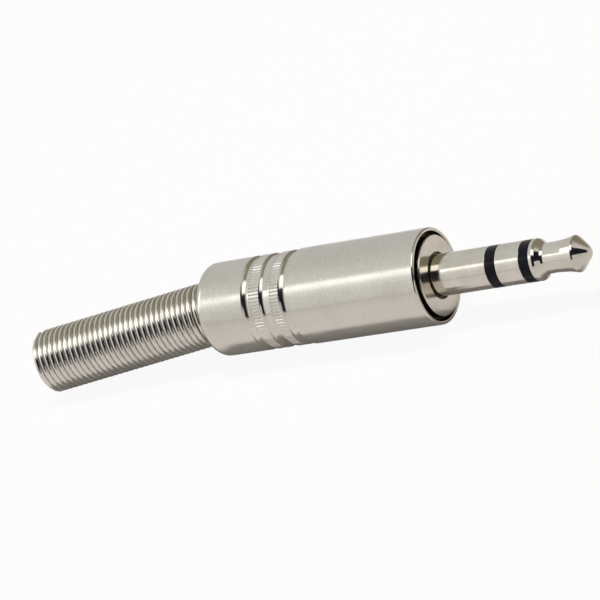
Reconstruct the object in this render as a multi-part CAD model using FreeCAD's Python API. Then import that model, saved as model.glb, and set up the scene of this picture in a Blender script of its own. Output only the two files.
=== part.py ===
import FreeCAD, Part
import math
import os

# A 3.5 mm stereo jack plug with a screw-on barrel and a spring strain relief, lying on its side.
# Millimetres. The origin is the centre of the flange's front face, where the plug seats on a socket.
# +X runs to the tip, +Z is up.

# Driving dimensions of the pin
pin_radius = 1.75
sleeve_end = 5.10
ring_start = 6.04
ring_end = 8.21
tip_start = 9.10
shoulder_length = 0.40
shoulder_slope = 0.52
shoulder_round = 0.40
neck_radius = 1.27
neck_round = 0.40
flare_shares = (0.32, 0.68)
flare_rise_share = 0.33
flare_round_share = 1.5
head_length = 1.27
head_radius = 1.55
head_edge_round = 0.25
pin_length = 14.0
nose_edge_radius = 0.33
nose_round = 0.75

# The thin conductors and tubes inside the pin, from the middle outwards
assembly_gap = 0.02
tip_rod_radius = 0.45
tip_tube_wall = 0.25
ring_tube_wall = 0.26
sleeve_tube_wall = 0.28

# Driving dimensions of the threaded body
flange_radius = 3.38
flange_thickness = 1.05
flange_chamfer = 0.06
recess_radius = 1.98
recess_depth = 0.15
thread_radius = 3.0
thread_relief_radius = 2.70
thread_relief_length = 0.30
thread_length = 3.50
spigot_radius = 1.55
body_spigot_radius = 1.97
body_spigot_length = 0.50

# The soldered end
washer_thickness = 0.30
strip_thickness = 0.35
ground_strip_width = 1.60
ground_strip_inset = 0.05
clamp_to_spring = 3.15
clamp_outer_radius = 2.70
clamp_clearance = 0.22
clamp_length = 4.0
clamp_trough_angle = 120.0
claw_angle = 260.0
claw_length = 1.2
ring_washer_radius = 2.00
ring_insulating_washer_radius = 2.30
insulating_washer_thickness = 0.60
tip_insulating_washer_radius = 1.40
tip_insulating_washer_thickness = 0.80
tip_washer_radius = 1.30
tab_end = -10.6
tab_hole_radius = 0.35
tab_hole_from_end = 0.75
ring_tab_width = 1.20
tip_tab_width = 0.90
peened_length = 0.15
peened_flare = 0.15
rod_head_radius = 0.75
rod_head_length = 0.25
rod_head_round = 0.20

# Driving dimensions of the shell
rim_setback = 0.25
shell_length = 21.40
front_radius = 4.05
rear_radius = 4.00
lip_gap = 0.35
rim_edge_round = 0.12
lip_edge_round = 0.05
thread_clearance = 0.05
grooves_from_mouth = (8.85, 7.03, 5.14)
groove_widths = (0.75, 0.93, 0.66)
groove_depths = (0.25, 0.20, 0.25)
groove_chamfer = 0.06
knurl_margin = 0.10
knurl_depth = 0.07
knurl_crest_drop = 0.01
knurl_ribs = 84
rear_face_slope = 0.10
rear_corner_radius = 0.80
mouth_edge_round = 0.15
spring_shoulder = 2.60

# Driving dimensions of the spring and the insulating tube
spring_radius = 2.80
spring_wire = 0.50
wire_flats = 8
spring_gap = 0.02
bend_gap = 0.09
mouth_clearance = 0.15
root_length = 1.35
flare_turns = 1.5
bend_degrees = 8.1
bend_length = 3.0
bend_inside_mouth = 0.8
spring_reach = 17.46
tube_wall = 0.28
tube_clearance = 0.10
tube_end_gap = 0.10
tube_front_gap = 0.15


def turned(outline):
    """Turns a closed outline of (x, radius) points about X. A third number rounds that corner."""
    corners = []
    count = len(outline)
    for i, place in enumerate(outline):
        here = FreeCAD.Vector(place[0], 0, place[1])
        if len(place) == 2:
            corners.append((here, here, here))
            continue
        before = outline[i - 1]
        after = outline[(i + 1) % count]
        back = (FreeCAD.Vector(before[0], 0, before[1]) - here).normalize()
        ahead = (FreeCAD.Vector(after[0], 0, after[1]) - here).normalize()
        half_angle = back.getAngle(ahead) / 2
        middle = (back + ahead).normalize()
        to_tangent = place[2] / math.tan(half_angle)
        to_arc = place[2] / math.sin(half_angle) - place[2]
        corners.append((here + back * to_tangent, here + middle * to_arc, here + ahead * to_tangent))
    edges = []
    for i, (start, top, end) in enumerate(corners):
        if (end - start).Length > 1e-6:
            edges.append(Part.Arc(start, top, end).toShape())
        next_start = corners[(i + 1) % count][0]
        if (next_start - end).Length > 1e-6:
            edges.append(Part.LineSegment(end, next_start).toShape())
    face = Part.Face(Part.Wire(edges))
    return face.revolve(FreeCAD.Vector(), FreeCAD.Vector(1, 0, 0), 360)


def ring(start, end, inner, outer):
    """A plain washer or tube about X."""
    return turned([(start, inner), (end, inner), (end, outer), (start, outer)])


def block(x, y, z):
    """A block from three pairs of limits."""
    size = [high - low for low, high in (x, y, z)]
    return Part.makeBox(*size, FreeCAD.Vector(x[0], y[0], z[0]))


# Places along the axis that several pieces share
flange_back = -flange_thickness
thread_back = flange_back - thread_relief_length - thread_length
body_back = thread_back - body_spigot_length
ring_lug_front = body_back - insulating_washer_thickness
ring_lug_back = ring_lug_front - washer_thickness
tip_lug_front = ring_lug_back - tip_insulating_washer_thickness
tip_lug_back = tip_lug_front - washer_thickness
rim = -rim_setback
mouth = rim - shell_length
shoulder = mouth + spring_shoulder
tube_radius = clamp_outer_radius + clamp_clearance + tube_wall
cavity_radius = tube_radius + tube_clearance
bend_start = mouth + bend_inside_mouth + bend_length / 2
spring_front = bend_start + root_length

# Radii of the nested tubes inside the pin
tip_tube_bore = tip_rod_radius + assembly_gap
tip_tube_radius = tip_tube_bore + tip_tube_wall
ring_bore = tip_tube_radius + assembly_gap
ring_tube_radius = ring_bore + ring_tube_wall
sleeve_tube_bore = ring_tube_radius + assembly_gap
sleeve_tube_radius = sleeve_tube_bore + sleeve_tube_wall
sleeve_bore = sleeve_tube_radius + assembly_gap


def make_tip_contact():
    """The turned tip, its waist, and the rod that is peened over behind the tip's lug."""
    shoulder_end = tip_start + shoulder_length
    neck_start = shoulder_end + shoulder_slope
    head_place = pin_length - head_length + head_edge_round / 2
    neck_to_head = head_place - neck_start
    flare_start, flare_middle = [neck_start + share * neck_to_head for share in flare_shares]
    flare_radius = neck_radius + flare_rise_share * (head_radius - neck_radius)
    flare_round = flare_round_share * neck_to_head
    return turned([
        (pin_length, 0),
        (pin_length, nose_edge_radius, nose_round),
        (head_place, head_radius, head_edge_round),
        (flare_middle, flare_radius, flare_round),
        (flare_start, neck_radius, flare_round),
        (neck_start, neck_radius, neck_round),
        (shoulder_end, pin_radius, shoulder_round),
        (tip_start, pin_radius),
        (tip_start, tip_rod_radius),
        (tip_lug_back, tip_rod_radius),
        (tip_lug_back, rod_head_radius),
        (tip_lug_back - rod_head_length, rod_head_radius, rod_head_round),
        (tip_lug_back - rod_head_length, 0),
    ])


def make_stepped_insulator(start, end, bore, tube_radius, back):
    """A moulded ring flush with the pin, and its thin tube back to where it ends."""
    return turned([
        (back, bore),
        (end, bore),
        (end, pin_radius),
        (start, pin_radius),
        (start, tube_radius),
        (back, tube_radius),
    ])


def make_ring_contact():
    """The turned ring and its tube, whose end is peened over behind the ring's lug."""
    back = ring_lug_back - peened_length
    return turned([
        (back, ring_bore),
        (ring_end, ring_bore),
        (ring_end, pin_radius),
        (ring_start, pin_radius),
        (ring_start, ring_tube_radius),
        (ring_lug_back, ring_tube_radius),
        (ring_lug_back, ring_tube_radius + peened_flare),
        (back, ring_tube_radius + peened_flare / 2),
    ])


def make_sleeve_contact():
    """The turned sleeve, with the thinner spigot that is pressed into the body."""
    return turned([
        (body_back, sleeve_bore),
        (sleeve_end, sleeve_bore),
        (sleeve_end, pin_radius),
        (-recess_depth, pin_radius),
        (-recess_depth, spigot_radius),
        (body_back, spigot_radius),
    ])


def make_threaded_body():
    """The flange disc with its recess round the sleeve, the threaded part and the rear spigot."""
    bore = spigot_radius + assembly_gap
    relief_back = flange_back - thread_relief_length
    return turned([
        (body_back, bore),
        (-recess_depth, bore),
        (-recess_depth, recess_radius),
        (0, recess_radius),
        (0, flange_radius - flange_chamfer),
        (-flange_chamfer, flange_radius),
        (flange_back, flange_radius),
        (flange_back, thread_relief_radius),
        (relief_back, thread_relief_radius),
        (relief_back, thread_radius),
        (thread_back, thread_radius),
        (thread_back, body_spigot_radius),
        (body_back, body_spigot_radius),
    ])


def make_ground_terminal():
    """The stamped ground strip: a washer on the body's spigot, a strip, and the cable clamp."""
    front = thread_back
    bore = body_spigot_radius + assembly_gap
    washer = ring(front - strip_thickness, front, bore, clamp_outer_radius)
    clamp_back = spring_front + clamp_to_spring
    clamp_front = clamp_back + clamp_length
    strip_outside = clamp_outer_radius - ground_strip_inset
    half_width = ground_strip_width / 2
    strip = block(
        (clamp_front - strip_thickness, front),
        (-half_width, half_width),
        (-strip_outside, strip_thickness - strip_outside),
    )
    clamp_bore = clamp_outer_radius - strip_thickness

    def bent_plate(back, length, angle):
        """A piece of tube about X, open at the top, of the given angle."""
        corners = [
            FreeCAD.Vector(back, 0, -clamp_outer_radius),
            FreeCAD.Vector(back + length, 0, -clamp_outer_radius),
            FreeCAD.Vector(back + length, 0, -clamp_bore),
            FreeCAD.Vector(back, 0, -clamp_bore),
        ]
        plate = Part.Face(Part.makePolygon(corners + corners[:1]))
        plate.rotate(FreeCAD.Vector(), FreeCAD.Vector(1, 0, 0), -angle / 2)
        return plate.revolve(FreeCAD.Vector(), FreeCAD.Vector(1, 0, 0), angle)

    trough = bent_plate(clamp_back, clamp_length, clamp_trough_angle)
    front_claw = bent_plate(clamp_front - claw_length, claw_length, claw_angle)
    rear_claw = bent_plate(clamp_back, claw_length, claw_angle)
    return washer.multiFuse([strip, trough, front_claw, rear_claw]).removeSplitter()


def make_lug(front, bore, radius, tab_width, side):
    """A washer end with a solder tab bent back from its edge. Side is 1 for +Y and -1 for -Y."""
    washer = ring(front - washer_thickness, front, bore, radius)
    inner = radius - washer_thickness
    across = sorted((side * inner, side * radius))
    half_width = tab_width / 2
    tab = block((tab_end, front), across, (-half_width, half_width))
    long_corners = [e for e in tab.Edges if abs(e.CenterOfMass.x - tab_end) < 1e-6]
    long_corners = [e for e in long_corners if abs(abs(e.CenterOfMass.z) - half_width) < 1e-6]
    tab = tab.makeFillet(half_width * 0.9, long_corners)
    hole_place = FreeCAD.Vector(tab_end + tab_hole_from_end, -2 * radius, 0)
    hole = Part.makeCylinder(tab_hole_radius, 4 * radius, hole_place, FreeCAD.Vector(0, 1, 0))
    foot = block((front - washer_thickness, front), sorted((0, side * radius)), (-half_width, half_width))
    foot = foot.cut(ring(front - washer_thickness, front, 0, bore))
    return washer.multiFuse([foot, tab.cut(hole)]).removeSplitter()


def make_ring_lug_insulator():
    """The washer that keeps the ring's lug off the body and the sleeve."""
    bore = ring_tube_radius + assembly_gap
    return ring(ring_lug_front, body_back, bore, ring_insulating_washer_radius)


def make_tip_lug_insulator():
    """The washer that keeps the tip's lug off the ring's lug, hollowed over the peened tube."""
    hollow = ring_tube_radius + peened_flare + 3 * assembly_gap
    hollow_floor = ring_lug_back - peened_length
    return turned([
        (tip_lug_front, tip_tube_bore),
        (hollow_floor, tip_tube_bore),
        (hollow_floor, hollow),
        (ring_lug_back, hollow),
        (ring_lug_back, tip_insulating_washer_radius),
        (tip_lug_front, tip_insulating_washer_radius),
    ])


def make_shell():
    """The barrel: polished lip, female thread, cavity, grooves, knurled bands and rounded rear."""
    outline = [
        (rim, flange_radius + lip_gap, lip_edge_round),
        (rim, front_radius, rim_edge_round),
    ]
    band_radius = front_radius
    for place, width, depth in zip(grooves_from_mouth, groove_widths, groove_depths):
        front_wall = mouth + place + width / 2
        back_wall = mouth + place - width / 2
        outline.append((front_wall + groove_chamfer, band_radius))
        outline.append((front_wall, band_radius - groove_chamfer))
        outline.append((front_wall, rear_radius - depth))
        outline.append((back_wall, rear_radius - depth))
        band_radius = rear_radius
        outline.append((back_wall, band_radius - groove_chamfer))
        outline.append((back_wall - groove_chamfer, band_radius))
    mouth_radius = spring_radius + mouth_clearance
    outline += [
        (mouth + rear_face_slope, rear_radius, rear_corner_radius),
        (mouth, mouth_radius, mouth_edge_round),
        (shoulder, mouth_radius),
        (shoulder, cavity_radius),
        (thread_back - strip_thickness, cavity_radius),
        (thread_back - strip_thickness, thread_radius + thread_clearance),
        (flange_back, thread_radius + thread_clearance),
        (flange_back, flange_radius + lip_gap),
    ]
    shell = turned(outline)
    for i in range(2):
        front = mouth + grooves_from_mouth[i] - groove_widths[i] / 2 - knurl_margin
        back = mouth + grooves_from_mouth[i + 1] + groove_widths[i + 1] / 2 + knurl_margin
        shell = shell.cut(make_knurl_cutter(back, front))
    return shell


def make_knurl_cutter(back, front):
    """What a straight knurl leaves out of the shell: shallow grooves along X, all the way round."""
    crest = rear_radius - knurl_crest_drop
    step = math.pi / knurl_ribs
    points = []
    for i in range(2 * knurl_ribs):
        radius = crest if i % 2 == 0 else rear_radius - knurl_depth
        points.append(FreeCAD.Vector(back, radius * math.cos(i * step), radius * math.sin(i * step)))
    star = Part.Face(Part.makePolygon(points + points[:1]))
    star = star.extrude(FreeCAD.Vector(front - back, 0, 0))
    return ring(back, front, rear_radius - 2 * knurl_depth, rear_radius + knurl_depth).cut(star)


# The spring lies on the surface beside the barrel, so its bend turns both down and to the side.
# The drop of its far end, times the cosine of this angle, is the barrel's radius less the spring's.
free_length = spring_reach + bend_inside_mouth
end_drop = free_length * math.sin(math.radians(bend_degrees))
bend_turn = math.acos((front_radius - spring_radius) / end_drop)
bend_way = FreeCAD.Vector(0, -math.sin(bend_turn), -math.cos(bend_turn))
bend_axis = FreeCAD.Vector(0, -math.cos(bend_turn), math.sin(bend_turn))


def spring_centre(along):
    """The middle line's point and its way at a distance back from the root coil's front."""
    straight = min(along, root_length)
    point = FreeCAD.Vector(spring_front - straight, 0, 0)
    way = FreeCAD.Vector(-1, 0, 0)
    if along <= root_length:
        return point, way
    bend_radius = bend_length / math.radians(bend_degrees)
    turn = min(along - root_length, bend_length) / bend_radius
    point += FreeCAD.Vector(-math.sin(turn), 0, 0) * bend_radius
    point += bend_way * (bend_radius * (1 - math.cos(turn)))
    way = FreeCAD.Vector(-math.cos(turn), 0, 0) + bend_way * math.sin(turn)
    return point + way * max(along - root_length - bend_length, 0), way


def make_spring():
    """One wire, wound as half turns that meet without a corner, on alternate sides of the bend."""
    coil_radius = spring_radius - spring_wire / 2
    flare_radius = cavity_radius - tube_clearance / 2 - spring_wire / 2
    whole_length = root_length + bend_length / 2 + free_length
    joints = []
    along = spring_wire / 2
    half_turns = 0
    while along < whole_length - spring_wire / 2:
        point, way = spring_centre(along)
        outward = bend_axis.cross(way)
        if half_turns % 2:
            outward = -outward
        flare = max(1 - half_turns / (2 * flare_turns), 0)
        radius = coil_radius + (flare_radius - coil_radius) * flare
        joints.append(point + outward * radius)
        in_bend = root_length / 2 < along < root_length + bend_length + spring_wire
        along += (spring_wire + (bend_gap if in_bend else spring_gap)) / 2
        half_turns += 1
    arcs = []
    side = bend_axis
    for start, end in zip(joints, joints[1:]):
        top = (start + end) * 0.5 + side * ((end - start).Length / 2)
        arcs.append(Part.Arc(start, top, end).toShape())
        side = -side
    # The wire is round. Its section has a few flats instead, because the coil is long and each is a face.
    across = (joints[0] - joints[1]).normalize()
    along_axis = bend_axis.cross(across)
    corners = []
    for i in range(wire_flats):
        angle = 2 * math.pi * i / wire_flats
        from_middle = across * math.cos(angle) + along_axis * math.sin(angle)
        corners.append(joints[0] + from_middle * (spring_wire / 2))
    section = Part.Face(Part.makePolygon(corners + corners[:1]))
    return Part.Wire(arcs).makePipe(section)


def make_insulating_tube():
    """The plastic tube that lines the barrel's cavity round the soldered joints."""
    back = spring_front + tube_end_gap
    front = thread_back - strip_thickness - tube_front_gap
    return ring(back, front, tube_radius - tube_wall, tube_radius)


sub_parts = {
    "tip_contact": make_tip_contact(),
    "tip_insulator": make_stepped_insulator(
        ring_end, tip_start, tip_tube_bore, tip_tube_radius, ring_lug_back - peened_length
    ),
    "ring_contact": make_ring_contact(),
    "ring_insulator": make_stepped_insulator(
        sleeve_end, ring_start, sleeve_tube_bore, sleeve_tube_radius, body_back
    ),
    "sleeve_contact": make_sleeve_contact(),
    "threaded_body": make_threaded_body(),
    "ground_terminal": make_ground_terminal(),
    "ring_lug_insulator": make_ring_lug_insulator(),
    "ring_terminal": make_lug(
        ring_lug_front, ring_tube_radius + assembly_gap, ring_washer_radius, ring_tab_width, 1
    ),
    "tip_lug_insulator": make_tip_lug_insulator(),
    "tip_terminal": make_lug(tip_lug_front, tip_tube_bore, tip_washer_radius, tip_tab_width, -1),
    "insulating_tube": make_insulating_tube(),
    "shell": make_shell(),
    "strain_relief_spring": make_spring(),
}

os.makedirs("parts", exist_ok=True)
for name, shape in sub_parts.items():
    shape.exportStep("parts/" + name + ".step")
    box = shape.BoundBox
    print(name, shape.isValid(), len(shape.Solids), "solid", round(shape.Volume, 4), "mm3",
          [round(v, 2) for v in (box.XMin, box.XMax, box.YMin, box.YMax, box.ZMin, box.ZMax)])
print("overall length", round(pin_length - sub_parts["strain_relief_spring"].BoundBox.XMin, 2))
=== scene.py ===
import bpy
import bmesh
import math
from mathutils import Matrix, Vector


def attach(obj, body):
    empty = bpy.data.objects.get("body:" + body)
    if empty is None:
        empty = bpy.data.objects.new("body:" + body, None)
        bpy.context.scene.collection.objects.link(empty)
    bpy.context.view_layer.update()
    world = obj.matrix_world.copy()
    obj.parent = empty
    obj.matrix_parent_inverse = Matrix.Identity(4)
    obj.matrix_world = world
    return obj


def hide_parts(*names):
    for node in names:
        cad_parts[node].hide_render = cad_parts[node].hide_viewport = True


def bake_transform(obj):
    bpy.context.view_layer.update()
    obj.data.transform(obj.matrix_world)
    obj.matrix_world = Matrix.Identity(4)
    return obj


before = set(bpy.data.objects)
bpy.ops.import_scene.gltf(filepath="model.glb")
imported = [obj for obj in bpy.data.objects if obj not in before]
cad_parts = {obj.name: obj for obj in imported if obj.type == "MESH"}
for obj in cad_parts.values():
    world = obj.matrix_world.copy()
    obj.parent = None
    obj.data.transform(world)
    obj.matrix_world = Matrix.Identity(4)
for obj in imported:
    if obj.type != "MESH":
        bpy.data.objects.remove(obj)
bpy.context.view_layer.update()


# The tip contact
# Brass, turned from bar and nickel plated, with a waist that the socket's spring catches.
# Its long thin rod runs back through all the tubes and is peened over behind the solder lug.

mm = 0.001
mm_in_metre = 1000


def turn_on_lathe(name, outline, closed=True, around=96):
    """Extrudes and scales a circle along X from station to station, in millimetres.

    A station is (x, radius) or (x, radius, corner radius). A closed outline is a ring or a tube,
    and an open one is a solid piece whose two ends are filled."""
    bpy.ops.object.select_all(action="DESELECT")
    x, radius = outline[0][:2]
    bpy.ops.mesh.primitive_circle_add(
        vertices=around, radius=radius, location=(x, 0, 0), rotation=(0, math.pi / 2, 0)
    )
    piece = bpy.context.object
    piece.name = name
    bpy.ops.object.transform_apply(location=True, rotation=True, scale=True)
    bpy.ops.object.mode_set(mode="EDIT")
    bpy.ops.mesh.select_mode(type="VERT")
    bpy.ops.mesh.select_all(action="SELECT")
    for station in outline[1:] + (outline[:1] if closed else []):
        bpy.ops.mesh.extrude_region_move(TRANSFORM_OT_translate={"value": (station[0] - x, 0, 0)})
        grow = station[1] / radius
        bpy.ops.transform.resize(value=(1, grow, grow), center_override=(station[0], 0, 0))
        x, radius = station[:2]
    bpy.ops.mesh.select_all(action="SELECT")
    if closed:
        bpy.ops.mesh.remove_doubles(threshold=0.0005)
    else:
        bpy.ops.mesh.fill_holes(sides=0)
    bpy.ops.mesh.select_all(action="SELECT")
    bpy.ops.mesh.normals_make_consistent(inside=False)
    for i, station in enumerate(outline):
        if len(station) == 3:
            round_corner(piece, outline, i, closed)
    bpy.ops.object.mode_set(mode="OBJECT")
    return piece


def select_ring(piece, x, radius, near=0.002):
    """Selects the edges of one circle about X."""
    bpy.ops.mesh.select_all(action="DESELECT")
    mesh = bmesh.from_edit_mesh(piece.data)
    for vert in mesh.verts:
        on_circle = abs(math.hypot(vert.co.y, vert.co.z) - radius) < near
        vert.select = abs(vert.co.x - x) < near and on_circle
    mesh.select_flush(True)
    bmesh.update_edit_mesh(piece.data)


def round_corner(piece, outline, i, closed):
    """Bevels the circle at a station to its corner radius."""
    x, radius, corner = outline[i]
    here, on_axis = Vector((x, radius)), (x, 0)
    at_first, at_last = i == 0, i == len(outline) - 1
    before = outline[i - 1][:2] if closed or not at_first else on_axis
    after = outline[(i + 1) % len(outline)][:2] if closed or not at_last else on_axis
    half_angle = (Vector(before) - here).angle(Vector(after) - here) / 2
    select_ring(piece, x, radius)
    bpy.ops.mesh.bevel(
        offset=corner / math.tan(half_angle), segments=6, profile=0.5, affect="EDGES",
        clamp_overlap=True,
    )


def finish_piece(piece, edge_break=0.03, sharp_over=30):
    """Breaks the sharp edges, evens the shading, and turns the millimetres into metres."""
    bpy.ops.object.select_all(action="DESELECT")
    piece.select_set(True)
    bpy.context.view_layer.objects.active = piece
    if edge_break:
        breaking = piece.modifiers.new("edge break", "BEVEL")
        breaking.width = edge_break
        breaking.segments = 2
        breaking.limit_method = "ANGLE"
        breaking.angle_limit = math.radians(sharp_over)
        breaking.miter_outer = "MITER_ARC"
        bpy.ops.object.modifier_apply(modifier=breaking.name)
    bpy.ops.object.shade_smooth_by_angle(angle=math.radians(sharp_over))
    evening = piece.modifiers.new("even shading", "WEIGHTED_NORMAL")
    evening.keep_sharp = True
    bpy.ops.object.modifier_apply(modifier=evening.name)
    piece.scale = (mm, mm, mm)
    bpy.ops.object.transform_apply(location=True, rotation=True, scale=True)


def connect(links, socket, source):
    """Gives a node's input another node's output, a colour or a number."""
    if isinstance(source, bpy.types.NodeSocket):
        links.new(source, socket)
    elif isinstance(source, tuple):
        socket.default_value = (*source, 1)
    else:
        socket.default_value = source


def rescale(nodes, links, value, old, new=(0, 1)):
    """Maps a value from its old range to a new one, and stops at the ends."""
    mapping = nodes.new("ShaderNodeMapRange")
    names = ("From Min", "From Max", "To Min", "To Max")
    for name, number in zip(names, (*old, *new)):
        mapping.inputs[name].default_value = number
    links.new(value, mapping.inputs["Value"])
    return mapping.outputs["Result"]


def work_out(nodes, links, operation, *values):
    """Adds one step of arithmetic."""
    step = nodes.new("ShaderNodeMath")
    step.operation = operation
    for socket, value in zip(step.inputs, values):
        connect(links, socket, value)
    return step.outputs[0]


def mix_colours(nodes, links, share, first, second, way="MIX"):
    """Mixes two colours by a share from 0, the first, to 1, the second."""
    mixing = nodes.new("ShaderNodeMix")
    mixing.data_type = "RGBA"
    mixing.blend_type = way
    for name, source in (("Factor", share), ("A", first), ("B", second)):
        connect(links, mixing.inputs[name], source)
    return mixing.outputs["Result"]


def uneven_pattern(nodes, links, place, scale, detail=2, roughness=0.5, distortion=0):
    """Adds noise with so many patches to the metre."""
    noise = nodes.new("ShaderNodeTexNoise")
    links.new(place, noise.inputs["Vector"])
    connect(links, noise.inputs["Scale"], scale)
    noise.inputs["Detail"].default_value = detail
    noise.inputs["Roughness"].default_value = roughness
    noise.inputs["Distortion"].default_value = distortion
    return noise.outputs["Fac"]


def start_pattern(name, value_name, usual, output_name):
    """Starts a node group that takes a place and one value, and puts out one value."""
    group = bpy.data.node_groups.new(name, "ShaderNodeTree")
    group.interface.new_socket("Place", in_out="INPUT", socket_type="NodeSocketVector")
    value = group.interface.new_socket(value_name, in_out="INPUT", socket_type="NodeSocketFloat")
    value.default_value = usual
    group.interface.new_socket(output_name, in_out="OUTPUT", socket_type="NodeSocketFloat")
    given = group.nodes.new("NodeGroupInput")
    result = group.nodes.new("NodeGroupOutput")
    return group, given.outputs["Place"], given.outputs[value_name], result.inputs[output_name]


def lathe_marks_group():
    """Fine rings left by the tool: noise that changes along the axis and the radius."""
    group, place, rings_per_mm, rings = start_pattern("lathe marks", "Rings per mm", 8, "Rings")
    nodes, links = group.nodes, group.links
    split = nodes.new("ShaderNodeSeparateXYZ")
    links.new(place, split.inputs[0])
    across = nodes.new("ShaderNodeCombineXYZ")
    links.new(split.outputs["Y"], across.inputs["Y"])
    links.new(split.outputs["Z"], across.inputs["Z"])
    radius = nodes.new("ShaderNodeVectorMath")
    radius.operation = "LENGTH"
    links.new(across.outputs[0], radius.inputs[0])
    turn = work_out(nodes, links, "ARCTAN2", split.outputs["Z"], split.outputs["Y"])
    drift_with_turn = 0.0003
    ring_place = nodes.new("ShaderNodeCombineXYZ")
    links.new(split.outputs["X"], ring_place.inputs["X"])
    links.new(radius.outputs["Value"], ring_place.inputs["Y"])
    drift = work_out(nodes, links, "MULTIPLY", turn, drift_with_turn)
    links.new(drift, ring_place.inputs["Z"])
    scale = work_out(nodes, links, "MULTIPLY", rings_per_mm, mm_in_metre)
    noise = uneven_pattern(nodes, links, ring_place.outputs[0], scale, detail=3, roughness=0.65)
    links.new(noise, rings)
    return group


def handling_group():
    """Faint smudges and dulled patches from handling, as a mask from 0 to 1."""
    group, place, patches_per_mm, mask = start_pattern("handling", "Patches per mm", 0.5, "Mask")
    nodes, links = group.nodes, group.links
    scale = work_out(nodes, links, "MULTIPLY", patches_per_mm, mm_in_metre)
    noise = uneven_pattern(nodes, links, place, scale, detail=4, roughness=0.6, distortion=0.4)
    links.new(rescale(nodes, links, noise, (0.42, 0.66)), mask)
    return group


def metal_grain_group():
    """The grain of a plated surface, as a level about 1 for its colour."""
    group, place, strength, level = start_pattern("metal grain", "Strength", 0.02, "Level")
    nodes, links = group.nodes, group.links
    grains_per_mm = 6.5
    noise = uneven_pattern(nodes, links, place, grains_per_mm * mm_in_metre)
    lighter = rescale(nodes, links, noise, (0.3, 0.7), (-1, 1))
    links.new(work_out(nodes, links, "MULTIPLY_ADD", lighter, strength, 1), level)
    return group


lathe_marks = lathe_marks_group()
handling = handling_group()
metal_grain = metal_grain_group()


def place_pattern(nodes, links, group, place, value_name, value):
    """Places a pattern's group in a material, with the material's own value."""
    placed = nodes.new("ShaderNodeGroup")
    placed.node_tree = group
    links.new(place, placed.inputs["Place"])
    placed.inputs[value_name].default_value = value
    return placed.outputs[0]


def start_material(name):
    """Starts a material, with the place on the piece that its patterns follow."""
    material = bpy.data.materials.new(name)
    material.use_nodes = True
    nodes = material.node_tree.nodes
    place = nodes.new("ShaderNodeTexCoord").outputs["Object"]
    return material, nodes, material.node_tree.links, nodes["Principled BSDF"], place


def raise_surface(nodes, links, shader, height, strength, depth=0.02 * mm):
    """Gives the shader a bump from a height pattern."""
    bump = nodes.new("ShaderNodeBump")
    bump.inputs["Strength"].default_value = strength
    bump.inputs["Distance"].default_value = depth
    links.new(height, bump.inputs["Height"])
    links.new(bump.outputs["Normal"], shader.inputs["Normal"])


def plated_metal(
    name, clean, dull, smooth, rough, rings_per_mm, ring_depth, patches_per_mm=0.5, grain=0.02
):
    """A plated, turned metal: two tones and two roughnesses mixed by handling, and ring marks."""
    material, nodes, links, shader, place = start_material(name)
    shader.inputs["Metallic"].default_value = 1.0
    rings = place_pattern(nodes, links, lathe_marks, place, "Rings per mm", rings_per_mm)
    touched = place_pattern(nodes, links, handling, place, "Patches per mm", patches_per_mm)
    level = place_pattern(nodes, links, metal_grain, place, "Strength", grain)
    grained = nodes.new("ShaderNodeVectorMath")
    grained.operation = "SCALE"
    links.new(mix_colours(nodes, links, touched, clean, dull), grained.inputs[0])
    links.new(level, grained.inputs["Scale"])
    links.new(grained.outputs["Vector"], shader.inputs["Base Color"])
    by_rings, by_touch = 0.4 * (rough - smooth), 0.6 * (rough - smooth)
    ring_rough = rescale(nodes, links, rings, (0.3, 0.7), (smooth, smooth + by_rings))
    roughness = work_out(nodes, links, "MULTIPLY_ADD", touched, by_touch, ring_rough)
    links.new(roughness, shader.inputs["Roughness"])
    raise_surface(nodes, links, shader, rings, strength=ring_depth)
    return material


polished_nickel = plated_metal(
    "polished nickel", clean=(0.73, 0.70, 0.635), dull=(0.66, 0.62, 0.54),
    smooth=0.07, rough=0.17, rings_per_mm=9, ring_depth=0.03,
)

pin_radius = 1.75
tip_back = 9.10
tip_rod_radius = 0.45
tip_lug_back = -7.35
tip_contact = turn_on_lathe("tip_contact_turned", [
    (14.0, 0.33, 0.75),
    (12.855, 1.55, 0.25),
    (11.94, 1.362, 4.2),
    (10.92, 1.27, 4.2),
    (10.02, 1.27, 0.40),
    (9.50, pin_radius, 0.40),
    (tip_back, pin_radius),
    (tip_back, tip_rod_radius),
    (tip_lug_back, tip_rod_radius),
    (tip_lug_back, 0.75),
    (-7.60, 0.75, 0.20),
], closed=False)
finish_piece(tip_contact)
tip_contact.data.materials.append(polished_nickel)
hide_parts("tip_contact")
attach(tip_contact, "plug")


# The two black insulators of the pin
# Hard glossy plastic, moulded flush with the metal, that parts the tip, the ring and the sleeve.
# Each goes on as a thin tube to the back of the plug, where the solder lugs are.

def moulded_skin_group():
    """The slightly uneven skin of moulded plastic, as a height from 0 to 1."""
    group, place, grains_per_mm, skin = start_pattern("moulded skin", "Grains per mm", 4, "Skin")
    nodes, links = group.nodes, group.links
    scale = work_out(nodes, links, "MULTIPLY", grains_per_mm, mm_in_metre)
    links.new(uneven_pattern(nodes, links, place, scale), skin)
    return group


moulded_skin = moulded_skin_group()


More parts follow.
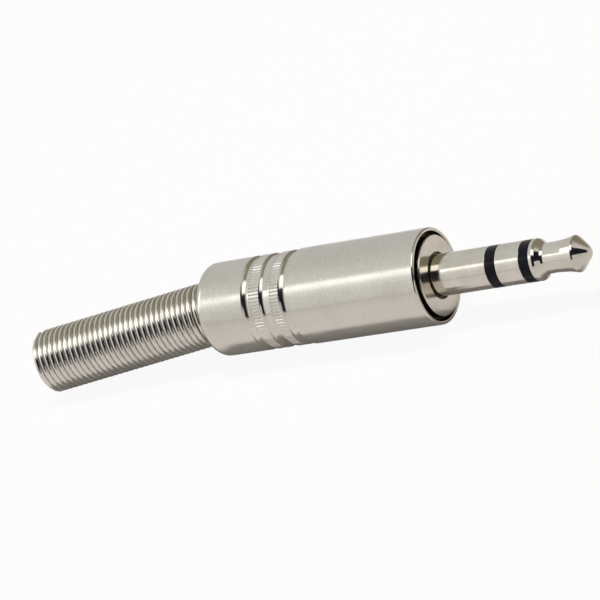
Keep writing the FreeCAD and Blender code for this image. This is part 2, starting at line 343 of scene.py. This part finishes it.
def moulded_plastic(name, colour, smooth, rough):
    """A moulded plastic, a little paler and duller where it has been handled."""
    material, nodes, links, shader, place = start_material(name)
    shader.inputs["IOR"].default_value = 1.5
    shader.inputs["Specular IOR Level"].default_value = 0.15
    touched = place_pattern(nodes, links, handling, place, "Patches per mm", 0.9)
    handled = tuple(1.5 * part + 0.001 for part in colour)
    links.new(mix_colours(nodes, links, touched, colour, handled), shader.inputs["Base Color"])
    gloss = rescale(nodes, links, touched, (0, 1), (smooth, rough))
    links.new(gloss, shader.inputs["Roughness"])
    skin = place_pattern(nodes, links, moulded_skin, place, "Grains per mm", 4)
    raise_surface(nodes, links, shader, skin, strength=0.04)
    return material


black_insulator = moulded_plastic(
    "black insulator", (0.004, 0.004, 0.009), smooth=0.08, rough=0.2
)

ring_front, ring_back = 8.21, 6.04
sleeve_front = 5.10
ring_tube_back = -6.40
body_back = -5.35
inner_tube_bore, inner_tube_radius = 0.47, 0.72
outer_tube_bore, outer_tube_radius = 1.02, 1.30
tip_insulator = turn_on_lathe("tip_insulator_moulded", [
    (ring_tube_back, inner_tube_bore), (tip_back, inner_tube_bore), (tip_back, pin_radius),
    (ring_front, pin_radius), (ring_front, inner_tube_radius),
    (ring_tube_back, inner_tube_radius),
])
ring_insulator = turn_on_lathe("ring_insulator_moulded", [
    (body_back, outer_tube_bore), (ring_back, outer_tube_bore), (ring_back, pin_radius),
    (sleeve_front, pin_radius), (sleeve_front, outer_tube_radius),
    (body_back, outer_tube_radius),
])
for piece, node in ((tip_insulator, "tip_insulator"), (ring_insulator, "ring_insulator")):
    finish_piece(piece)
    piece.data.materials.append(black_insulator)
    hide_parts(node)
    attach(piece, "plug")
for node in ("ring_lug_insulator", "tip_lug_insulator"):
    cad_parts[node].material_slots[0].material = black_insulator


# The ring contact and the sleeve contact
# Plated brass, turned to the same diameter as the insulators between them, so that they feel
# like one pin. The sleeve is pressed into the threaded body by a thinner spigot at its back.

ring_bore, ring_tube_radius = 0.74, 1.00
peened_from, peened_radius = -6.25, 1.15
sleeve_bore, spigot_radius = 1.32, 1.55
recess_floor = -0.15
ring_contact = turn_on_lathe("ring_contact_turned", [
    (ring_tube_back, ring_bore), (ring_front, ring_bore), (ring_front, pin_radius),
    (ring_back, pin_radius), (ring_back, ring_tube_radius), (peened_from, ring_tube_radius),
    (peened_from, peened_radius), (ring_tube_back, 1.075),
])
sleeve_contact = turn_on_lathe("sleeve_contact_turned", [
    (body_back, sleeve_bore), (sleeve_front, sleeve_bore), (sleeve_front, pin_radius),
    (recess_floor, pin_radius), (recess_floor, spigot_radius), (body_back, spigot_radius),
])
for piece, node in ((ring_contact, "ring_contact"), (sleeve_contact, "sleeve_contact")):
    finish_piece(piece)
    piece.data.materials.append(polished_nickel)
    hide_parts(node)
    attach(piece, "plug")


# The threaded body
# Nickel-plated brass: a chamfered disc that seats on the socket, with a small recess round the
# sleeve, and behind it the fine male thread that the barrel screws onto.

turned_face = plated_metal(
    "turned nickel face", clean=(0.72, 0.68, 0.61), dull=(0.65, 0.60, 0.52),
    smooth=0.12, rough=0.24, rings_per_mm=12, ring_depth=0.12,
)
# A near-black brass used as painted shade. It darkens the recess round the sleeve, the barrel's
# bore behind the lip and the inside of its mouth, where shade falls.
shade_painted_brass = plated_metal(
    "brass painted dark as shade in the gaps", clean=(0.10, 0.085, 0.06), dull=(0.05, 0.042, 0.03),
    smooth=0.35, rough=0.5, rings_per_mm=6, ring_depth=0.2,
)

disc_radius = 3.38
disc_chamfer = 0.06
disc_back = -1.05
recess_radius = 1.98
body_bore = 1.57
thread_foot, thread_back = 2.70, -4.85
lug_seat_radius = 1.97
threaded_body = turn_on_lathe("threaded_body_turned", [
    (body_back, body_bore), (recess_floor, body_bore), (recess_floor, recess_radius),
    (0, recess_radius), (0, disc_radius - disc_chamfer), (-disc_chamfer, disc_radius),
    (disc_back, disc_radius), (disc_back, thread_foot), (thread_back, thread_foot),
    (thread_back, lug_seat_radius), (body_back, lug_seat_radius),
])
finish_piece(threaded_body)
threaded_body.data.materials.append(turned_face)
threaded_body.data.materials.append(shade_painted_brass)
# The faces of the recess round the sleeve take the near-black brass, as painted shade.
for face in threaded_body.data.polygons:
    x = face.center.x * mm_in_metre
    radius = math.hypot(face.center.y, face.center.z) * mm_in_metre
    in_recess = radius < recess_radius - 0.01 and recess_floor - 0.05 < x < -0.01
    if in_recess:
        face.material_index = 1

thread_pitch = 0.5
thread_turns = 6.6
thread_start = -1.55
steps_per_turn = 48
ridge_middle = 2.84
ridge_width, ridge_height = 0.40, 0.32
crest_share = 0.18
bpy.ops.object.select_all(action="DESELECT")
bpy.ops.mesh.primitive_plane_add(
    size=1, location=(thread_start, 0, ridge_middle), rotation=(math.pi / 2, 0, 0)
)
thread_ridge = bpy.context.object
thread_ridge.scale = (ridge_width, ridge_height, 1)
bpy.ops.object.transform_apply(location=True, rotation=True, scale=True)
bpy.ops.object.mode_set(mode="EDIT")
bpy.ops.mesh.select_all(action="DESELECT")
ridge_mesh = bmesh.from_edit_mesh(thread_ridge.data)
for vert in ridge_mesh.verts:
    vert.select = vert.co.z > ridge_middle
ridge_mesh.select_flush(True)
bpy.ops.transform.resize(
    value=(crest_share, 1, 1), center_override=(thread_start, 0, ridge_middle)
)
bpy.ops.mesh.select_all(action="SELECT")
bpy.ops.mesh.delete(type="ONLY_FACE")
bpy.ops.object.mode_set(mode="OBJECT")
winding = thread_ridge.modifiers.new("winding", "SCREW")
winding.axis = "X"
winding.angle = math.radians(360 * thread_turns)
winding.screw_offset = -thread_pitch * thread_turns
winding.steps = winding.render_steps = int(steps_per_turn * thread_turns)
winding.use_merge_vertices = False
bpy.ops.object.modifier_apply(modifier=winding.name)
bpy.ops.object.mode_set(mode="EDIT")
bpy.ops.mesh.select_all(action="SELECT")
bpy.ops.mesh.fill_holes(sides=4)
bpy.ops.mesh.select_all(action="SELECT")
bpy.ops.mesh.normals_make_consistent(inside=False)
bpy.ops.object.mode_set(mode="OBJECT")
finish_piece(thread_ridge, edge_break=0)
thread_ridge.data.materials.append(turned_face)
bpy.ops.object.select_all(action="DESELECT")
thread_ridge.select_set(True)
threaded_body.select_set(True)
bpy.context.view_layer.objects.active = threaded_body
bpy.ops.object.join()
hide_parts("threaded_body")
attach(threaded_body, "plug")


# The solder lugs and the cable clamp
# Stamped brass strip, dipped in tin: the two small lugs, and the long ground strip whose claws
# are folded round the cable's jacket. They stay as they were cut and bent.

tinned_brass = plated_metal(
    "tinned brass", clean=(0.70, 0.69, 0.67), dull=(0.55, 0.53, 0.49),
    smooth=0.22, rough=0.42, rings_per_mm=1.5, ring_depth=0.1, patches_per_mm=1.2,
)
for node in ("ground_terminal", "ring_terminal", "tip_terminal"):
    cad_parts[node].material_slots[0].material = tinned_brass


# The insulating tube
# A thin sleeve of milky plastic, extruded and cut to length. It is pushed into the barrel,
# so that the lugs can't touch it.

milky_plastic = moulded_plastic("milky plastic", (0.62, 0.61, 0.57), smooth=0.35, rough=0.5)
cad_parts["insulating_tube"].material_slots[0].material = milky_plastic


# The barrel
# Turned brass with a warm grey satin nickel plating. Three grooves with round backs and the lip
# are left polished, and between the grooves are two bands of fine straight knurling.

satin_nickel = plated_metal(
    "satin nickel", clean=(0.71, 0.685, 0.63), dull=(0.68, 0.65, 0.585),
    smooth=0.17, rough=0.26, rings_per_mm=14, ring_depth=0.08, patches_per_mm=0.25, grain=0.055,
)

rim = -0.25
mouth = -21.65
barrel_front_radius = 4.05
barrel_radius = 4.0
lip_bore = 3.73
lip_inner_round, lip_outer_round = 0.13, 0.17
thread_bore, thread_bore_back = 3.05, -5.20
cavity_radius, cavity_back = 3.30, -19.05
mouth_bore, mouth_round = 2.95, 0.15
rear_round = 0.80

groove_edge = 0.06
groove_corner = 0.08
slope_step = 15
# Each groove's middle, width and depth, and how long the round slope at its back is.
grooves = ((-12.80, 0.75, 0.25, 0.50), (-14.62, 0.93, 0.20, 0.34), (-16.51, 0.66, 0.25, 0.48))

ribs = 84
points_per_rib = 4
knurl_depth = 0.065
knurl_drop = 0.01
knurl_end = 0.03
# The front and the back of the band behind each of the first two grooves.
knurls = ((-13.275, -14.055), (-15.185, -16.08))

barrel_outline = [(rim, lip_bore, lip_inner_round), (rim, barrel_front_radius, lip_outer_round)]
land = barrel_front_radius
for i, (middle, width, depth, slope) in enumerate(grooves):
    front, back = middle + width / 2, middle - width / 2
    floor, rise = barrel_radius - depth, depth - groove_edge
    barrel_outline += [
        (front + groove_edge, land), (front, land - groove_edge), (front, floor, groove_corner),
    ]
    for degrees in range(0, 90, slope_step):
        up = math.radians(degrees)
        barrel_outline.append(
            (back + slope * (1 - math.sin(up)), floor + rise * (1 - math.cos(up)))
        )
    land = barrel_radius
    barrel_outline += [(back, land - groove_edge), (back - groove_edge, land)]
    for knurl_front, knurl_back in knurls[i:i + 1]:
        barrel_outline += [
            (knurl_front, land), (knurl_front - knurl_end, land - knurl_drop),
            (knurl_back + knurl_end, land - knurl_drop), (knurl_back, land),
        ]
barrel_outline += [
    (mouth + 0.10, barrel_radius, rear_round), (mouth, mouth_bore, mouth_round),
    (cavity_back, mouth_bore), (cavity_back, cavity_radius), (thread_bore_back, cavity_radius),
    (thread_bore_back, thread_bore), (disc_back, thread_bore), (disc_back, lip_bore),
]
barrel = turn_on_lathe("barrel_turned", barrel_outline, around=points_per_rib * ribs)

bpy.ops.object.mode_set(mode="EDIT")
bpy.ops.mesh.select_all(action="DESELECT")
barrel_mesh = bmesh.from_edit_mesh(barrel.data)
for vert in barrel_mesh.verts:
    step = round(math.atan2(vert.co.z, vert.co.y) / (2 * math.pi) * points_per_rib * ribs)
    between_ribs = step % points_per_rib == points_per_rib // 2
    in_knurl = any(back < vert.co.x < front for front, back in knurls)
    outside = math.hypot(vert.co.y, vert.co.z) > barrel_radius - 0.1
    vert.select = in_knurl and outside and between_ribs
barrel_mesh.select_flush(True)
valley = (barrel_radius - knurl_depth) / (barrel_radius - knurl_drop)
bpy.ops.transform.resize(value=(1, valley, valley), center_override=(0, 0, 0))
bpy.ops.object.mode_set(mode="OBJECT")
finish_piece(barrel, edge_break=0)

for material in (satin_nickel, shade_painted_brass, polished_nickel):
    barrel.data.materials.append(material)
# The lip and the grooves take polished nickel. The bore behind the lip and the inside of the
# mouth take the near-black brass, as painted shade.
for face in barrel.data.polygons:
    x = face.center.x * mm_in_metre
    radius = math.hypot(face.center.y, face.center.z) * mm_in_metre
    on_lip = x > rim - 0.16
    in_groove = 3.6 < radius < barrel_radius - 0.02 and any(
        abs(x - middle) < width / 2 + 0.01 for middle, width, *_ in grooves
    )
    in_bore = radius < lip_bore + 0.005 and x > cavity_back - 0.45
    in_mouth = radius < mouth_bore + 0.01 and x < cavity_back + 0.05
    if on_lip or in_groove:
        face.material_index = 2
    elif in_bore or in_mouth:
        face.material_index = 1
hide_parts("shell")
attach(barrel, "barrel")


# The strain relief spring
# Round spring wire, close wound. Its first turn and a half are wider and trapped behind the
# barrel's mouth, and the free end lies on the table, a little to the side.

spring_steel = plated_metal(
    "plated spring wire", clean=(0.74, 0.715, 0.665), dull=(0.65, 0.62, 0.56),
    smooth=0.15, rough=0.24, rings_per_mm=3, ring_depth=0.05, patches_per_mm=0.6,
)

wire = 0.516
pitch, pitch_in_bend = 0.52, 0.59
coil_radius = 2.77 - wire / 2
root_clearance = 0.05
root_coil_radius = cavity_radius - root_clearance - wire / 2
wider_turns = 1.5
points_per_turn = 8
spring_front = -18.0
root_length = 1.35
bend_length = 3.0
free_length = 18.26
end_left_off = 0.36
bend_angle = math.radians(8.1)
lying_radius = 2.80
lying_drop = barrel_front_radius - lying_radius
bend_turn = math.acos(lying_drop / (free_length * math.sin(bend_angle)))
bend_way = Vector((0, -math.sin(bend_turn), -math.cos(bend_turn)))
bend_axis = Vector((0, -math.cos(bend_turn), math.sin(bend_turn)))


def middle_of_coil(along):
    """The middle line's point and its direction, at a distance from the root coil's front."""
    point = Vector((spring_front - min(along, root_length), 0, 0))
    if along <= root_length:
        return point, Vector((-1, 0, 0))
    bend_radius = bend_length / bend_angle
    turned = min(along - root_length, bend_length) / bend_radius
    point += Vector((-math.sin(turned), 0, 0)) * bend_radius
    point += bend_way * (bend_radius * (1 - math.cos(turned)))
    way = Vector((-math.cos(turned), 0, 0)) + bend_way * math.sin(turned)
    return point + way * max(along - root_length - bend_length, 0), way


whole_coil = root_length + bend_length / 2 + free_length
coil_points = []
along = wire / 2
while along < whole_coil - end_left_off:
    middle, way = middle_of_coil(along)
    turns = len(coil_points) / points_per_turn
    turned = 2 * math.pi * turns
    wider = max(1 - turns / wider_turns, 0)
    radius = coil_radius + (root_coil_radius - coil_radius) * wider
    outward = bend_axis.cross(way)
    coil_points.append(
        middle + (outward * math.cos(turned) + bend_axis * math.sin(turned)) * radius
    )
    in_bend = root_length / 2 < along < root_length + bend_length + wire
    along += (pitch_in_bend if in_bend else pitch) / points_per_turn

bpy.ops.object.select_all(action="DESELECT")
bpy.ops.curve.primitive_bezier_curve_add()
spring = bpy.context.object
spring.name = "spring_wound"
coil = spring.data
coil.dimensions = "3D"
coil.splines.remove(coil.splines[0])
winding_line = coil.splines.new("BEZIER")
winding_line.bezier_points.add(len(coil_points) - 1)
for place, point in zip(coil_points, winding_line.bezier_points):
    point.co = place
    point.handle_left_type = point.handle_right_type = "AUTO"
coil.resolution_u = 3
coil.bevel_depth = wire / 2
coil.bevel_resolution = 4
coil.use_fill_caps = True
bpy.ops.object.convert(target="MESH")
finish_piece(spring, edge_break=0, sharp_over=50)
spring.data.materials.clear()
spring.data.materials.append(spring_steel)
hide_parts("strain_relief_spring")
past_bend = 3.1
blend_to = middle_of_coil(root_length + bend_length + past_bend)[0]
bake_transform(spring)


# The table
# A plain white matt table top. Part of its white is glow, so that it joins the background behind
# it, and the rest takes the plug's shadow.

bpy.ops.object.select_all(action="DESELECT")
bpy.ops.mesh.primitive_plane_add(size=3, location=(0, 0, -barrel_front_radius * mm))
table = bpy.context.object
table.name = "table"
white_table = bpy.data.materials.new("white table")
white_table.use_nodes = True
nodes, links = white_table.node_tree.nodes, white_table.node_tree.links
shader = nodes["Principled BSDF"]
shader.inputs["Base Color"].default_value = (0.80, 0.765, 0.75, 1)
shader.inputs["Roughness"].default_value = 0.6
glow = nodes.new("ShaderNodeEmission")
seen = nodes.new("ShaderNodeLightPath")
glow_in_view, glow_in_metal = 0.93, 0.08
in_view = work_out(nodes, links, "MULTIPLY", seen.outputs["Is Camera Ray"], glow_in_view)
glow_share = work_out(
    nodes, links, "MULTIPLY_ADD", seen.outputs["Is Glossy Ray"], glow_in_metal, in_view
)
both = nodes.new("ShaderNodeMixShader")
links.new(glow_share, both.inputs["Fac"])
links.new(shader.outputs[0], both.inputs[1])
links.new(glow.outputs[0], both.inputs[2])
links.new(both.outputs[0], nodes["Material Output"].inputs["Surface"])
table.data.materials.append(white_table)


# The studio and the camera
# A grey room that the metal mirrors, with a bright strip above the camera for the barrel, another
# one for the spring, and a dark wall with a white top for the tip. The camera itself sees white.

studio = bpy.data.worlds.new("studio")
bpy.context.scene.world = studio
studio.use_nodes = True
nodes, links = studio.node_tree.nodes, studio.node_tree.links
direction = nodes.new("ShaderNodeSeparateXYZ")
links.new(nodes.new("ShaderNodeTexCoord").outputs["Generated"], direction.inputs[0])
# From -1 towards the spring to 1 towards the tip.
side = direction.outputs["X"]
# From 0 at the table on the camera's side over 90 degrees overhead to 180 at the table behind.
towards_camera = work_out(nodes, links, "MULTIPLY", direction.outputs["Y"], -1)
height = work_out(nodes, links, "ARCTAN2", direction.outputs["Z"], towards_camera)
height_share = rescale(nodes, links, height, (0, math.pi))
half_turn = 180


def colour_ramp(nodes, links, value, whole, stops):
    """Colours along a value from 0 to 1, each at its part of the whole."""
    ramp = nodes.new("ShaderNodeValToRGB")
    links.new(value, ramp.inputs["Fac"])
    tones = ramp.color_ramp.elements
    for tone, (place, colour) in zip(tones, (stops[0], stops[-1])):
        tone.position, tone.color = place / whole, (*colour, 1)
    for place, colour in stops[1:-1]:
        tones.new(place / whole).color = (*colour, 1)
    return ramp.outputs["Color"]


def grey(level):
    return level, level, level


almost_black = (0.012, 0.012, 0.022)
room = colour_ramp(nodes, links, height_share, half_turn, (
    (0, (0.74, 0.73, 0.71)),
    (18, (0.76, 0.755, 0.74)),
    (30, (0.78, 0.78, 0.77)),
    (50, (0.78, 0.78, 0.77)),
    (61, (0.70, 0.70, 0.68)),
    (120, (0.66, 0.66, 0.645)),
    (180, (0.60, 0.60, 0.59)),
))
barrel_strip = colour_ramp(nodes, links, height_share, half_turn, (
    (0, grey(0)), (30, grey(0.06)), (42, grey(0.30)), (49, grey(1.20)), (57, grey(1.30)),
    (61, grey(0)),
))
along_barrel = rescale(nodes, links, side, (-0.545, -0.435))
strip_strength = colour_ramp(nodes, links, along_barrel, 1, (
    (0, grey(0.55)), (0.30, grey(0.9)), (0.45, grey(1.0)), (0.65, grey(0.9)), (1, grey(0.25)),
))
faded_strip = mix_colours(nodes, links, 1, barrel_strip, strip_strength, "MULTIPLY")
lit_room = mix_colours(nodes, links, 1, room, faded_strip, "ADD")

spring_strip = colour_ramp(nodes, links, height_share, half_turn, (
    (58, grey(0)), (63, (1.75, 1.75, 1.72)), (86, (1.75, 1.75, 1.72)), (92, grey(0)),
))
towards_rear = rescale(nodes, links, side, (-0.60, -0.70))
rear_lit_room = mix_colours(nodes, links, towards_rear, lit_room, spring_strip, "ADD")

tip_wall = colour_ramp(nodes, links, height_share, half_turn, (
    (0, (0.30, 0.29, 0.28)),
    (1, almost_black),
    (56, almost_black),
    (62, (1.85, 1.85, 1.83)),
    (85, (1.85, 1.85, 1.80)),
    (93, (0.32, 0.30, 0.23)),
    (180, (0.27, 0.25, 0.19)),
))
end_wall = colour_ramp(nodes, links, height_share, half_turn, (
    (0, (0.70, 0.68, 0.66)),
    (18, (0.70, 0.69, 0.67)),
    (23, almost_black),
    (92, almost_black),
    (100, (0.85, 0.84, 0.80)),
    (116, (0.62, 0.61, 0.56)),
    (180, (0.60, 0.59, 0.54)),
))
towards_end = rescale(nodes, links, side, (0.60, 0.70))
both_walls = mix_colours(nodes, links, towards_end, tip_wall, end_wall)
towards_tip = rescale(nodes, links, side, (-0.40, -0.15))
whole_room = mix_colours(nodes, links, towards_tip, rear_lit_room, both_walls)

seen = nodes.new("ShaderNodeLightPath")
what_shows = mix_colours(nodes, links, seen.outputs["Is Camera Ray"], whole_room, grey(1))
links.new(what_shows, nodes["Background"].inputs["Color"])
light_on_matt = 0.24
room_share = rescale(nodes, links, seen.outputs["Is Diffuse Ray"], (0, 1), (1.0, light_on_matt))
links.new(room_share, nodes["Background"].inputs["Strength"])

bpy.ops.object.light_add(type="AREA", location=(-0.03, 0.05, 0.34))
soft_light = bpy.context.object
soft_light.name = "soft light"
soft_light.data.shape = "RECTANGLE"
soft_light.data.size = 0.12
soft_light.data.size_y = 0.05
soft_light.data.energy = 0.86
soft_light.visible_glossy = False
barrel_middle = Vector((-0.01, 0, 0))
light_way = barrel_middle - soft_light.location
soft_light.rotation_euler = light_way.to_track_quat("-Z", "Y").to_euler()

bpy.ops.object.camera_add(
    location=(0.148961, -0.238786, 0.133899),
    rotation=(math.radians(62.887), math.radians(22.441), math.radians(23.189)),
)
camera = bpy.context.object
camera.name = "camera"
camera.data.lens = 228
camera.data.sensor_width = 36
camera.data.clip_start = 0.005
camera.data.clip_end = 10
bpy.context.scene.camera = camera
bpy.context.scene.view_settings.view_transform = "Standard"
